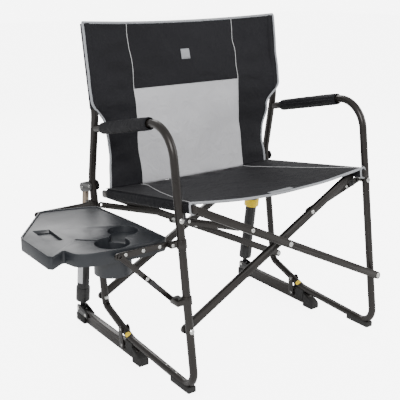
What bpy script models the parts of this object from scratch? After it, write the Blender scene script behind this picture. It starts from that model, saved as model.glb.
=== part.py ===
"""Camp rocking chair: two bent side frames joined by two scissor frames, sprung
rocker bars under each side, and a fold-down side table.

Metres, +Z up, floor at z = 0, the sitter faces -Y, the sitter's right (the table side)
is -X.  The pieces are laid out about the chair's mid-plane, x = 0, and the finished chair
is then moved to put the origin on the floor under the middle of its outline.
The chair leans back a little on its rocker bars.  Everything that leans is laid out in
a frame tilted by LEAN about X; the rocker bars and the table are laid out level.
"""
import math
import bpy
import bmesh
from mathutils import Matrix, Vector

# ---------------------------------------------------------------- driving dimensions
LEAN = math.radians(8.5)      # seat frame leans back by this at rest
HALF = 0.335                  # side frames' tube centre from the mid-plane
TUBE_R = 0.011                # 22 mm frame tube
FIT = 0.0003                  # gap between pieces that touch
PIN_R = 0.0035                # pivot pins
PIN_FIT = 0.0005              # radial play of a pin in its hole
HEAD_R, HEAD_T = 0.0075, 0.0025   # rivet heads
SIDES = (("r", -1.0), ("l", 1.0))

# side frame, leaning layout (y, z)
LEG_Y = -0.4505               # front leg
REAR_Y = 0.0078               # rear leg
FRONT_LEG_FOOT = (LEG_Y, -0.0245)
RAIL_KNEE = (-0.1362, 0.0388)
REAR_KNEE = (REAR_Y, 0.1160)
BACK_KNEE = (REAR_Y, 0.5050)
BACK_BEND = (-0.0560, 0.6980)
POST_TOP = (-0.0520, 0.9440)
ARM_FRONT = (LEG_Y, 0.6790)
ARM_REAR = (-0.0450, 0.6540)
SPLICE_T = 0.34               # the two tubes meet this far along the bottom rail
PAD_R, PAD_FROM, PAD_TO = 0.0180, 0.0980, 0.3520   # arm pad, along the arm
FRONT_BENDS = (0.090, 0.045)
REAR_BENDS = (0.120, 0.030, 0.120, 0.120)
SPIGOT_R, SPIGOT_L = 0.0088, 0.030

# scissor frames, leaning layout (x, z)
PIVOT_Z = 0.1400              # lower pivots on the legs
CENTRE_Z = 0.3050             # crossing pin
BAR_H, BAR_T = 0.022, 0.013   # flat-oval bars
RAIL_X, RAIL_W, RAIL_H = HALF - 0.0300, 0.013, 0.023
LINK_X, LINK_PIN_Z = 0.1285, 0.4300
LINK_W, LINK_T = 0.018, 0.006
STEP = TUBE_R + BAR_T / 2                 # leg's middle to a bar that touches it
LAYER = BAR_T / 2 + LINK_T / 2 + 0.0040   # bar's middle to its link's
FRONT_A, FRONT_B = LEG_Y - STEP - 0.0070, LEG_Y + STEP + 0.0030
REAR_A, REAR_B = REAR_Y - STEP - 0.0088, REAR_Y + STEP + 0.0032
STACKS = {                    # y of each layer: leg, bar A, bar B, links
    "front": (LEG_Y, FRONT_A, FRONT_B, FRONT_B + LAYER),
    "rear": (REAR_Y, REAR_A, REAR_B, REAR_A - LAYER),
}
SLEEVE_R = 0.0062             # spacer tubes on the pins
BUSH_R = 0.0065               # studs between a bar and its link
REST_X, REST_W, REST_T = RAIL_X, 0.020, 0.0124

# rocker bars, level layout (y, z)
ROCK_PIN = (-0.0880, 0.0270)
BAR_FRONT, BAR_REAR = -0.1720, 0.1740
BAR_Z0, BAR_Z1 = 0.0060, 0.0545 - TUBE_R
BAR_W = 0.018
PAD_W = 0.030
STRUT_LOW, STRUT_TOP = (0.1860, 0.0450), (0.1250, 0.4650)
STRUT_PIN_R = 0.0040
PLATE_FOOT = (-0.0840, 0.0770)            # upper rivet of the yoke on the rail
GRIP = (0.0780, 0.4790)                   # rivet of the strut's bracket on the post
HEEL_BOLT = (0.1400, 0.0360)
CYL_R, COLLAR_R, RING_R, ROD_R = 0.019, 0.022, 0.026, TUBE_R - 0.0010
EYE_PLAY = 0.0028             # the strut's top eye is loose on its pin
YOKE_T, YOKE_L = 0.003, 0.042

# side table, level layout
TABLE_Z, TABLE_SKIRT, TABLE_WALL = 0.440, 0.030, 0.0045
TABLE_HINGE = (-HALF - 0.0250, 0.4330)   # x, z
CUP_XY, CUP_R, CUP_DEPTH = (-HALF - 0.1480, -0.3000), 0.0450, 0.0740
DISH_XY, DISH_R, DISH_DEPTH = (-HALF - 0.0795, -0.2340), 0.0400, 0.0160
WELL_WALL, WELL_SEGS = 0.0030, 32
POCKET = ((-0.2791, -0.2003), (-0.2381, -0.2096), (-0.2328, -0.1132), (-0.2735, -0.0990))
POCKET_DEPTH, GROOVE_DEPTH, GROOVE_R = 0.0090, 0.0035, 0.0040
CHANNEL_R = 0.0220                       # half the width of the way from cup to dish
BRACE_TOP, BRACE_LOW = (-HALF - 0.1700, 0.4310), (-HALF - 0.0260, 0.2860)
BRACE_SPLIT, BRACE_W = 0.50, 0.014
ARM_BAR_H = 0.016
COLLAR_WALL = 0.0022

# cloth
SLING_T = 0.003
SEAT_FRONT, SEAT_REAR, SEAT_SAG = -0.4680, -0.0260, 0.026
BACK_HALF, BACK_LOW_HALF = HALF + 0.0110, HALF - 0.0180
BACK_Z0, BACK_STEP_Z = 0.4900, 0.7050

RING_SEGS = 12
HOLE_SEGS = 12


# ---------------------------------------------------------------- scene helpers
def start():
    for ob in list(bpy.data.objects):
        bpy.data.objects.remove(ob, do_unlink=True)
    main = bpy.data.collections.new("camp_rocking_chair")
    tools = bpy.data.collections.new("cutters")
    for coll in (main, tools):
        bpy.context.scene.collection.children.link(coll)
    return main, tools


MAIN, TOOLS = start()
LEANING, LEVEL = LEAN, 0.0    # how far each layout is turned back about X


def material(name, colour, roughness, metallic):
    mat = bpy.data.materials.new(name)
    mat.use_nodes = True
    bsdf = mat.node_tree.nodes["Principled BSDF"]
    bsdf.inputs["Base Color"].default_value = (*colour, 1.0)
    bsdf.inputs["Roughness"].default_value = roughness
    bsdf.inputs["Metallic"].default_value = metallic
    mat.diffuse_color = (*colour, 1.0)
    return mat


def leaning(p):
    """A point of the leaning layout, in the level frame."""
    c, s = math.cos(LEAN), math.sin(LEAN)
    return Vector((p[0], p[1] * c + p[2] * s, -p[1] * s + p[2] * c))


def add(name, mesh, frame, mat=None, tool=False, smooth=True):
    """Link a mesh as a named piece, or as a hidden tool of a Boolean."""
    ob = bpy.data.objects.new(name, mesh)
    (TOOLS if tool else MAIN).objects.link(ob)
    ob.rotation_euler = (-frame, 0.0, 0.0)
    if smooth:
        mesh.shade_smooth()
        mesh.set_sharp_from_angle(angle=math.radians(35))
    if mat:
        mesh.materials.clear()
        mesh.materials.append(mat)
    if tool:
        ob.hide_render = True
        ob.display_type = "WIRE"
    return ob


def frame_of(ob):
    return -ob.rotation_euler.x


def at_joint(ob, origin):
    """Move a piece's origin onto its joint axis without moving the piece."""
    ob.data.transform(Matrix.Translation(-Vector(origin)))
    ob.location = leaning(origin) if frame_of(ob) else Vector(origin)
    return ob


def boolean(ob, tool, operation="DIFFERENCE"):
    mod = ob.modifiers.new(tool.name, "BOOLEAN")
    mod.operation = operation
    mod.solver = "EXACT"
    mod.object = tool
    return ob


def soften(ob, width, segments=2, angle=50):
    mod = ob.modifiers.new("edges", "BEVEL")
    mod.width = width
    mod.segments = segments
    mod.limit_method = "ANGLE"
    mod.angle_limit = math.radians(angle)
    mod.harden_normals = False
    return ob


def curve_mesh(curve, name):
    """The mesh of a finished curve, its caps welded on."""
    ob = bpy.data.objects.new(name + "_curve", curve)
    bpy.context.scene.collection.objects.link(ob)
    deps = bpy.context.evaluated_depsgraph_get()
    mesh = bpy.data.meshes.new_from_object(ob.evaluated_get(deps))
    mesh.transform(ob.matrix_world)
    bpy.data.objects.remove(ob, do_unlink=True)
    bm = bmesh.new()
    bm.from_mesh(mesh)
    bmesh.ops.remove_doubles(bm, verts=bm.verts, dist=1e-5)
    bmesh.ops.recalc_face_normals(bm, faces=bm.faces)
    bm.to_mesh(mesh)
    bm.free()
    mesh.name = name
    return mesh


def filleted(points, radii, steps=4):
    """A polyline with an arc of the given radius at each inner corner."""
    pts = [Vector(p) for p in points]
    out = [pts[0]]
    for before, corner, after, radius in zip(pts, pts[1:], pts[2:], radii):
        a, b = (before - corner).normalized(), (after - corner).normalized()
        half = a.angle(b) / 2
        reach = radius / math.tan(half)
        centre = corner + (a + b).normalized() * (radius / math.sin(half))
        start, end = corner + a * reach - centre, corner + b * reach - centre
        turn = start.angle(end)
        for k in range(steps + 1):
            t = k / steps
            out.append(centre + (start * math.sin((1 - t) * turn)
                                 + end * math.sin(t * turn)) / math.sin(turn))
    out.append(pts[-1])
    return out


def tube(name, points, radius, segs=RING_SEGS):
    curve = bpy.data.curves.new(name, "CURVE")
    curve.dimensions = "3D"
    curve.bevel_depth = radius
    curve.bevel_resolution = (segs - 4) // 2
    curve.use_fill_caps = True
    spline = curve.splines.new("POLY")
    spline.points.add(len(points) - 1)
    for sp, p in zip(spline.points, points):
        sp.co = (*p, 1.0)
    return curve_mesh(curve, name)


PLANES = {                    # where an outline's two axes and its thickness go
    "xy": Matrix.Identity(4),
    "xz": Matrix(((1, 0, 0, 0), (0, 0, -1, 0), (0, 1, 0, 0), (0, 0, 0, 1))),
    "yz": Matrix(((0, 0, 1, 0), (1, 0, 0, 0), (0, 1, 0, 0), (0, 0, 0, 1))),
}


def plate(name, outline, plane, low, high):
    """A flat outline in a plane, between two positions along the plane's normal."""
    curve = bpy.data.curves.new(name, "CURVE")
    curve.dimensions = "2D"
    curve.fill_mode = "BOTH"
    curve.extrude = (high - low) / 2
    spline = curve.splines.new("POLY")
    spline.points.add(len(outline) - 1)
    for sp, p in zip(spline.points, outline):
        sp.co = (p[0], p[1], 0.0, 1.0)
    spline.use_cyclic_u = True
    mesh = curve_mesh(curve, name)
    mid = (low + high) / 2
    offset = {"xy": (0, 0, mid), "xz": (0, mid, 0), "yz": (mid, 0, 0)}[plane]
    mesh.transform(Matrix.Translation(offset) @ PLANES[plane])
    return mesh


def drum(name, start_at, end_at, radius, segs=HOLE_SEGS, radius2=None):
    """A cylinder or cone between two points."""
    a, b = Vector(start_at), Vector(end_at)
    mesh = bpy.data.meshes.new(name)
    bm = bmesh.new()
    bmesh.ops.create_cone(bm, cap_ends=True, segments=segs, radius1=radius,
                          radius2=radius if radius2 is None else radius2,
                          depth=(b - a).length)
    bm.to_mesh(mesh)
    bm.free()
    turn = Vector((0, 0, 1)).rotation_difference(b - a).to_matrix().to_4x4()
    mesh.transform(Matrix.Translation((a + b) / 2) @ turn)
    return mesh


def box(name, low, high):
    mesh = bpy.data.meshes.new(name)
    bm = bmesh.new()
    bmesh.ops.create_cube(bm, size=1.0)
    size = Vector(high) - Vector(low)
    bmesh.ops.scale(bm, vec=size, verts=bm.verts)
    bmesh.ops.translate(bm, vec=(Vector(low) + Vector(high)) / 2, verts=bm.verts)
    bm.to_mesh(mesh)
    bm.free()
    return mesh


def arc(centre, radius, first, last, steps):
    """Points on an arc, angles in degrees."""
    return [(centre[0] + radius * math.cos(math.radians(first + (last - first) * k / steps)),
             centre[1] + radius * math.sin(math.radians(first + (last - first) * k / steps)))
            for k in range(steps + 1)]


def slot_outline(a, b, radius, radius2=None, steps=6):
    """Outline of a bar with round ends between two points."""
    heading = math.degrees(math.atan2(b[1] - a[1], b[0] - a[0]))
    return (arc(b, radius2 or radius, heading - 90, heading + 90, steps)
            + arc(a, radius, heading + 90, heading + 270, steps))


def cut_drum(ob, start_at, end_at, radius, segs=HOLE_SEGS):
    name = ob.name + "_hole%d" % len(ob.modifiers)
    return boolean(ob, add(name, drum(name, start_at, end_at, radius, segs), frame_of(ob), tool=True))


def cut_box(ob, low, high):
    name = ob.name + "_cut%d" % len(ob.modifiers)
    return boolean(ob, add(name, box(name, low, high), frame_of(ob), tool=True))


def join(ob, mesh):
    return boolean(ob, add(mesh.name + "_add%d" % len(ob.modifiers), mesh, frame_of(ob), tool=True),
                   "UNION")


# ---------------------------------------------------------------- materials
COAT = material("bronze_powder_coat", (0.070, 0.062, 0.058), 0.42, 0.35)
ZINC = material("zinc_rivet", (0.62, 0.62, 0.60), 0.30, 1.0)
NYLON = material("black_nylon", (0.018, 0.018, 0.019), 0.50, 0.0)
RUBBER = material("black_rubber", (0.014, 0.014, 0.014), 0.75, 0.0)
YELLOW = material("yellow_plastic", (0.80, 0.62, 0.03), 0.40, 0.0)
ROD_COAT = material("strut_rod_finish", (0.33, 0.27, 0.21), 0.32, 0.7)
CYL_COAT = material("strut_black", (0.030, 0.030, 0.032), 0.45, 0.2)
TRAY = material("table_plastic", (0.060, 0.064, 0.072), 0.48, 0.0)
PADDING = material("arm_neoprene", (0.024, 0.024, 0.026), 0.85, 0.0)
CLOTH = material("polyester_cloth", (0.022, 0.022, 0.024), 0.90, 0.0)

ROD_LINE = Vector((0.0, STRUT_TOP[0] - STRUT_LOW[0], STRUT_TOP[1] - STRUT_LOW[1])).normalized()


# ---------------------------------------------------------------- side frames
def rail_point(along):
    """A point on the bottom rail's centre line, 0 at its front bend, 1 at its knee."""
    return Vector(FRONT_LEG_FOOT).lerp(Vector(RAIL_KNEE), along)


def front_path(x):
    end = rail_point(SPLICE_T)
    return filleted([(x, *ARM_REAR), (x, *ARM_FRONT), (x, *FRONT_LEG_FOOT), (x, *end)],
                    FRONT_BENDS)


def rear_path(x):
    rise = (Vector(RAIL_KNEE) - Vector(FRONT_LEG_FOOT)).normalized() * FIT
    begin = rail_point(SPLICE_T) + rise
    return filleted([(x, *begin), (x, *RAIL_KNEE), (x, *REAR_KNEE), (x, *BACK_KNEE),
                     (x, *BACK_BEND), (x, *POST_TOP)], REAR_BENDS)


def post_line(x):
    """The post's straight stretch where the arm meets it."""
    return (x, *Vector(BACK_KNEE).lerp(Vector(BACK_BEND), 0.3)), (
        x, *Vector(BACK_KNEE).lerp(Vector(BACK_BEND), 1.0))


def front_tube(tag, s):
    """Arm, front leg and front of the bottom rail, one bent tube."""
    x = s * HALF
    ob = add("front_tube_" + tag, tube("front_tube_" + tag, front_path(x), TUBE_R), LEANING, COAT)
    cut_drum(ob, *post_line(x), TUBE_R + FIT, 24)
    splice = Vector((x, *rail_point(SPLICE_T)))
    inward = Vector((0, *(Vector(FRONT_LEG_FOOT) - Vector(RAIL_KNEE)).normalized()))
    cut_drum(ob, splice - inward * 0.01, splice + inward * (SPIGOT_L + FIT * 2),
             SPIGOT_R + FIT * 2)
    layers = STACKS["front"]
    hole = PIN_R + PIN_FIT
    for z in (PIVOT_Z, LINK_PIN_Z):
        cut_drum(ob, (x, layers[0] - 0.02, z), (x, layers[0] + 0.02, z), hole)
    return ob


def rear_tube(tag, s):
    """Rest of the bottom rail, rear leg and back post, one bent tube."""
    x = s * HALF
    ob = add("rear_tube_" + tag, tube("rear_tube_" + tag, rear_path(x), TUBE_R), LEANING, COAT)
    splice = Vector((x, *rail_point(SPLICE_T)))
    inward = Vector((0, *(Vector(FRONT_LEG_FOOT) - Vector(RAIL_KNEE)).normalized()))
    join(ob, drum("spigot_" + tag, splice - inward * 0.006, splice + inward * SPIGOT_L, SPIGOT_R))
    cut_drum(ob, (x, REAR_Y - 0.045, PIVOT_Z), (x, REAR_Y + 0.02, PIVOT_Z), PIN_R + PIN_FIT)
    link_y = STACKS["rear"][3]
    inner, outer = link_y + LINK_T / 2 + FIT, link_y - LINK_T / 2 - FIT
    for part, y0, y1, r0, r1 in (("sleeve", REAR_Y, inner, SLEEVE_R, SLEEVE_R),
                                 ("stud", REAR_Y, outer - HEAD_T, PIN_R, PIN_R),
                                 ("tail", outer, outer - HEAD_T, HEAD_R, HEAD_R * 0.6)):
        join(ob, drum("%s_%s" % (part, tag), (x, y0, LINK_PIN_Z), (x, y1, LINK_PIN_Z), r0, HOLE_SEGS, r1))
    return ob


def arm_pad(tag, s):
    """Padded wrap around the arm."""
    x = s * HALF
    slope = (Vector(ARM_REAR) - Vector(ARM_FRONT)).normalized()
    front = Vector(ARM_FRONT) + slope * PAD_FROM
    rear = Vector(ARM_FRONT) + slope * PAD_TO
    start_at, end_at = (x, *front), (x, *rear)
    ob = add("arm_pad_" + tag, drum("arm_pad_" + tag, start_at, end_at, PAD_R, 20),
             LEANING, PADDING)
    soften(ob, 0.004, 2, 60)
    extra = Vector((0, *slope)) * 0.01
    cut_drum(ob, Vector(start_at) - extra, Vector(end_at) + extra, TUBE_R + FIT, 16)
    return ob


def foot(tag, s):
    """Rubber shoe under the front bend."""
    x = s * HALF
    name = "foot_" + tag
    ob = add(name, box(name, (x - 0.013, -0.4360, 0.0300), (x + 0.013, -0.3480, 0.0480)),
             LEVEL, RUBBER)
    soften(ob, 0.003, 2)
    groove = [leaning(p) for p in front_path(x)[-7:]]
    groove.append(groove[-1] + (groove[-1] - groove[-2]).normalized() * 0.05)
    name = "foot_groove_" + tag
    return boolean(ob, add(name, tube(name, groove, TUBE_R + FIT * 2, 16), LEVEL, tool=True))


# ---------------------------------------------------------------- scissor frames
def spine(side):
    """Direction of a bar from the crossing pin towards its rail, in x and z."""
    up = Vector((side * HALF, CENTRE_Z - PIVOT_Z)).normalized()
    return up


def on_bar(side, x):
    """The point of a bar's centre line at the given distance from the mid-plane."""
    d = spine(side)
    return Vector((side * x, CENTRE_Z + d.y / abs(d.x) * x))


def bar_outline(side):
    """Round at the leg pivot, cut upright where it meets its rail."""
    d = spine(side)
    low = (-side * HALF, PIVOT_Z)
    heading = math.degrees(math.atan2(d.y, d.x))
    pts = arc(low, BAR_H / 2, heading + 90, heading + 270, 8)
    normal = Vector((-d.y, d.x)) * (BAR_H / 2)
    end_x = side * (RAIL_X - RAIL_W / 2 - FIT)
    for n in (-normal, normal):
        p = Vector((0, CENTRE_Z)) + n
        pts.append(tuple(p + d * ((end_x - p.x) / d.x)))
    return pts


def scissor_bar(name, side, y, link_y):
    """A crossing bar with its pivot holes and the bush that reaches its link."""
    ob = add(name, plate(name, bar_outline(side), "xz", y - BAR_T / 2, y + BAR_T / 2),
             LEANING, COAT)
    soften(ob, 0.004, 2)
    for x, z in ((-side * HALF, PIVOT_Z), (0.0, CENTRE_Z)):
        cut_drum(ob, (x, y - 0.02, z), (x, y + 0.02, z), PIN_R + PIN_FIT)
    q = on_bar(side, LINK_X)
    bush_end = link_y + math.copysign(LINK_T / 2 + FIT, y - link_y)
    join(ob, drum(name + "_bush", (q.x, y, q.y), (q.x, bush_end, q.y), BUSH_R, 12))
    return at_joint(ob, (-side * HALF, y, PIVOT_Z))


def seat_rail(name, side, y0, y1):
    """Upright flat-oval rail that carries the seat's edge."""
    z = on_bar(side, RAIL_X).y
    r = RAIL_W / 2
    outline = (arc((side * RAIL_X, z + RAIL_H / 2 - r), r, 0, 180, 8)
               + arc((side * RAIL_X, z - RAIL_H / 2 + r), r, 180, 360, 8))
    return add(name, plate(name, outline, "xz", y0, y1), LEANING, COAT)


def link(name, s, y):
    """Flat link from a leg to the bar that rises towards it."""
    a, q = (s * HALF, LINK_PIN_Z), on_bar(s, LINK_X)
    ob = add(name, plate(name, slot_outline(a, q, LINK_W / 2), "xz", y - LINK_T / 2,
                         y + LINK_T / 2), LEANING, COAT)
    cut_drum(ob, (a[0], y - 0.01, a[1]), (a[0], y + 0.01, a[1]), PIN_R + PIN_FIT)
    return at_joint(ob, (a[0], y, a[1]))


def rail_rest(name, s, y):
    """Plastic block on a link, on which the seat rail comes down."""
    rail_low = on_bar(s, RAIL_X).y - RAIL_H / 2
    a, q = Vector((s * HALF, LINK_PIN_Z)), on_bar(s, LINK_X)
    x = s * REST_X
    link_z = LINK_PIN_Z + (q.y - a.y) * (HALF - REST_X) / (HALF - LINK_X)
    ob = add(name, box(name, (x - REST_W / 2, y - REST_T / 2, link_z - LINK_W / 2 + 0.001),
                       (x + REST_W / 2, y + REST_T / 2, rail_low - FIT)), LEANING, NYLON)
    soften(ob, 0.002, 2)
    name += "_slot"
    return boolean(ob, add(name, plate(name, slot_outline(a, q, LINK_W / 2 + FIT), "xz",
                                       y - LINK_T / 2 - FIT, y + LINK_T / 2 + FIT),
                           LEANING, tool=True))


def pin(name, x, z, y0, y1, spacer=None):
    """A rivet along the leaning y axis; y0 is its front head's inner face."""
    ob = add(name, drum(name, (x, y0 - HEAD_T, z), (x, y1, z), PIN_R, 12), LEANING, ZINC)
    join(ob, drum(name + "_head", (x, y0 - HEAD_T, z), (x, y0, z), HEAD_R * 0.6, 12, HEAD_R))
    if spacer:
        join(ob, drum(name + "_sleeve", (x, spacer[0], z), (x, spacer[1], z), SLEEVE_R, 12))
    join(ob, drum(name + "_tail", (x, y1 - HEAD_T, z), (x, y1, z), HEAD_R, 12, HEAD_R * 0.6))
    return ob


def leg_pins(tag, s):
    """Pivot rivets of the bars and of the links on one side's two legs."""
    x = s * HALF
    for end, (leg, bar_a, bar_b, link_y) in STACKS.items():
        bar = bar_b if s < 0 else bar_a
        low = min(leg - TUBE_R, bar - BAR_T / 2)
        high = max(leg + TUBE_R, bar + BAR_T / 2)
        near, far = sorted((leg, bar))
        between = (near + (TUBE_R if near == leg else BAR_T / 2) + FIT,
                   far - (TUBE_R if far == leg else BAR_T / 2) - FIT)
        pin("pin_low_%s_%s" % (end, tag), x, PIVOT_Z, low - FIT, high + FIT + HEAD_T,
            between if between[1] - between[0] > 0.001 else None)
        if end == "front":
            pin("pin_link_" + tag, x, LINK_PIN_Z, leg - TUBE_R - FIT, link_y + LINK_T / 2 + FIT + HEAD_T,
                (leg + TUBE_R + FIT, link_y - LINK_T / 2 - FIT))


def scissor_frames():
    for end, (leg, bar_a, bar_b, link_y) in STACKS.items():
        scissor_bar("bar_%s_a" % end, -1.0, bar_a, link_y)
        scissor_bar("bar_%s_b" % end, 1.0, bar_b, link_y)
        pin("pin_centre_" + end, 0.0, CENTRE_Z, bar_a - BAR_T / 2 - FIT,
            bar_b + BAR_T / 2 + FIT + HEAD_T,
            (bar_a + BAR_T / 2 + FIT, bar_b - BAR_T / 2 - FIT))
        for tag, s in SIDES:
            link("link_%s_%s" % (end, tag), s, link_y)
            if end == "front":
                rail_rest("rail_rest_" + tag, s, link_y)
    front = STACKS["front"][1] - BAR_T / 2
    seat_rail("rail_r", -1.0, front, 0.0000)
    seat_rail("rail_l", 1.0, front, 0.0350)


# ---------------------------------------------------------------- rocker bars and struts
def base_bar(tag, s):
    """Flat-oval bar that stays on the ground."""
    x = s * HALF
    r = 0.010
    outline = (arc((BAR_REAR - r, BAR_Z1 - r), r, 0, 90, 3) + arc((BAR_FRONT + r, BAR_Z1 - r), r, 90, 180, 3)
               + arc((BAR_FRONT + r, BAR_Z0 + r), r, 180, 270, 3) + arc((BAR_REAR - r, BAR_Z0 + r), r, 270, 360, 3))
    name = "base_bar_" + tag
    ob = add(name, plate(name, outline, "yz", x - BAR_W / 2, x + BAR_W / 2), LEVEL, COAT)
    soften(ob, 0.004, 2)
    cut_drum(ob, (x - 0.02, *ROCK_PIN), (x + 0.02, *ROCK_PIN), PIN_R + PIN_FIT)
    return at_joint(ob, (x, *ROCK_PIN))


def bar_socket(ob, s, y0, y1):
    """Room for the rocker bar inside a cap or a block."""
    x = s * HALF
    return cut_box(ob, (x - BAR_W / 2 - FIT, y0, BAR_Z0 - FIT), (x + BAR_W / 2 + FIT, y1, BAR_Z1 + FIT))


def base_toe(tag, s):
    """Rubber cap on the bar's front end, standing on the ground."""
    x = s * HALF
    name = "base_toe_" + tag
    r = 0.012
    outline = (arc((-0.1960 + r, 0.0280 - r), r, 180, 110, 3)
               + [(-0.1500, BAR_Z1 + 0.0015), (-0.1500, 0.0)]
               + arc((-0.1960 + 0.006, 0.006), 0.006, 270, 180, 2))
    ob = add(name, plate(name, outline, "yz", x - PAD_W / 2, x + PAD_W / 2), LEVEL, RUBBER)
    soften(ob, 0.0025, 2, 40)
    return bar_socket(ob, s, BAR_FRONT - FIT, -0.1400)


def base_heel(tag, s):
    """Rubber cap on the bar's rear end, standing on the ground."""
    x = s * HALF
    name = "base_heel_" + tag
    ob = add(name, box(name, (x - PAD_W / 2, 0.1500, 0.0), (x + PAD_W / 2, 0.2050, 0.0260)),
             LEVEL, RUBBER)
    soften(ob, 0.003, 2)
    return bar_socket(ob, s, 0.1400, BAR_REAR + FIT)


def heel_bracket(tag, s):
    """Steel ears on the bar's rear end that hold the strut's lower pin."""
    x = s * HALF
    name = "heel_bracket_" + tag
    low_y, low_z = STRUT_LOW
    outer, wall = BAR_W / 2 + 0.0050, 0.0035
    ear = [(0.1300, 0.0270), (low_y + 0.013, 0.0270)] + arc((low_y, low_z), 0.013, -20, 100, 5) + [
        (0.1500, BAR_Z1 + 0.006), (0.1300, BAR_Z1 - 0.002)]
    ob = add(name, plate(name, ear, "yz", x - outer, x - outer + wall), LEVEL, COAT)
    join(ob, plate(name + "_ear", ear, "yz", x + outer - wall, x + outer))
    join(ob, drum(name + "_pin", (x - outer - 0.002, low_y, low_z), (x + outer + 0.002, low_y, low_z),
                  STRUT_PIN_R, 12))
    join(ob, drum(name + "_bolt", (x - outer - 0.002, *HEEL_BOLT), (x + outer + 0.002, *HEEL_BOLT),
                  PIN_R, 12))
    return ob


def bumper(tag, s):
    """Rubber block on the bar on which the frame comes down."""
    x = s * HALF
    name = "bumper_" + tag
    ob = add(name, box(name, (x - 0.013, -0.1460, 0.0180), (x + 0.013, -0.1100, 0.0560)),
             LEVEL, RUBBER)
    soften(ob, 0.002, 2)
    bar_socket(ob, s, -0.1600, -0.1000)
    path = [leaning(p) for p in rear_path(x)[:7]]
    name += "_groove"
    return boolean(ob, add(name, tube(name, path, TUBE_R + FIT * 2, 16), LEVEL, tool=True))


def yoke(tag, s):
    """Two plates riveted to the rail that straddle the bar and carry its pin."""
    x = s * HALF
    name = "yoke_" + tag
    inner = TUBE_R + FIT
    top = PLATE_FOOT
    outline = slot_outline(ROCK_PIN, top, 0.0125, 0.0100, 6)
    ob = add(name, plate(name, outline, "yz", x - inner - YOKE_T, x - inner), LEVEL, COAT)
    join(ob, plate(name + "_far", outline, "yz", x + inner, x + inner + YOKE_T))
    reach = inner + YOKE_T + 0.002
    join(ob, drum(name + "_pin", (x - reach, *ROCK_PIN), (x + reach, *ROCK_PIN), PIN_R, 12))
    join(ob, drum(name + "_rivet", (x - reach, *top), (x + reach, *top), PIN_R, 12))
    return ob, top


def strut_cylinder(tag, s):
    """Lower half of the spring strut, with its eye and collar."""
    x = s * HALF
    name = "strut_cyl_" + tag
    low = Vector((x, *STRUT_LOW))
    ob = add(name, drum(name, low + ROD_LINE * 0.070, low + ROD_LINE * 0.262, CYL_R, 20),
             LEVEL, CYL_COAT)
    join(ob, drum(name + "_collar", low + ROD_LINE * 0.030, low + ROD_LINE * 0.076, COLLAR_R, 20))
    join(ob, drum(name + "_neck", low + ROD_LINE * 0.004, low + ROD_LINE * 0.034, 0.0075, 12))
    join(ob, drum(name + "_eye", low - Vector((0.0075, 0, 0)), low + Vector((0.0075, 0, 0)), 0.0095, 16))
    cut_drum(ob, low - Vector((0.02, 0, 0)), low + Vector((0.02, 0, 0)), STRUT_PIN_R + PIN_FIT)
    cut_drum(ob, low + ROD_LINE * 0.090, low + ROD_LINE * 0.300, ROD_R + FIT * 2, 20)
    return at_joint(ob, low)


def strut_ring(tag, s):
    """Yellow sleeve around the cylinder's mouth."""
    x = s * HALF
    name = "strut_ring_" + tag
    low = Vector((x, *STRUT_LOW))
    ob = add(name, drum(name, low + ROD_LINE * 0.238, low + ROD_LINE * 0.264, RING_R, 20), LEVEL, YELLOW)
    soften(ob, 0.002, 1)
    cut_drum(ob, low + ROD_LINE * 0.20, low + ROD_LINE * 0.30, CYL_R + FIT * 2, 20)
    return ob


def strut_rod(tag, s):
    """Rod that slides in the cylinder, its top eye loose on the upper pin."""
    x = s * HALF
    name = "strut_rod_" + tag
    low, top = Vector((x, *STRUT_LOW)), Vector((x, *STRUT_TOP))
    ob = add(name, drum(name, low + ROD_LINE * 0.170, top - ROD_LINE * 0.008, ROD_R, 16), LEVEL, ROD_COAT)
    wide = Vector((ROD_R - 0.0020, 0, 0))
    join(ob, drum(name + "_eye", top - wide, top + wide, 0.0125, 16))
    cut_drum(ob, top - wide * 2, top + wide * 2, STRUT_PIN_R + EYE_PLAY)
    return at_joint(ob, low)


def post_bracket(tag, s):
    """Rounded plates behind the post that carry the strut's upper pin."""
    x = s * HALF
    name = "post_bracket_" + tag
    inner = TUBE_R + FIT
    grip, top = GRIP, STRUT_TOP
    outline = slot_outline(grip, top, 0.0150, 0.0140, 6)
    ob = add(name, plate(name, outline, "yz", x - inner - YOKE_T, x - inner), LEVEL, COAT)
    join(ob, plate(name + "_far", outline, "yz", x + inner, x + inner + YOKE_T))
    reach = inner + YOKE_T + 0.002
    join(ob, drum(name + "_pin", (x - reach, *top), (x + reach, *top), STRUT_PIN_R, 12))
    join(ob, drum(name + "_rivet", (x - reach, *grip), (x + reach, *grip), PIN_R, 12))
    return ob, grip


def rockers(rear_tubes):
    for tag, s in SIDES:
        x = s * HALF
        base_bar(tag, s)
        base_toe(tag, s)
        base_heel(tag, s)
        heel = heel_bracket(tag, s)
        bumper(tag, s)
        low_rivet, grip = yoke(tag, s)[1], post_bracket(tag, s)[1]
        strut_cylinder(tag, s)
        strut_ring(tag, s)
        strut_rod(tag, s)
        bar = bpy.data.objects["base_bar_" + tag]
        name = "base_bar_%s_bolt_hole" % tag
        boolean(bar, add(name, drum(name, (x - 0.02, *HEEL_BOLT), (x + 0.02, *HEEL_BOLT),
                                    PIN_R + FIT), LEVEL, tool=True))
        for k, (y, z) in enumerate((low_rivet, grip)):
            name = "rear_tube_%s_rivet_hole%d" % (tag, k)
            boolean(rear_tubes[tag], add(name, drum(name, (x - 0.02, y, z), (x + 0.02, y, z),
                                                    PIN_R + FIT), LEVEL, tool=True))


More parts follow.
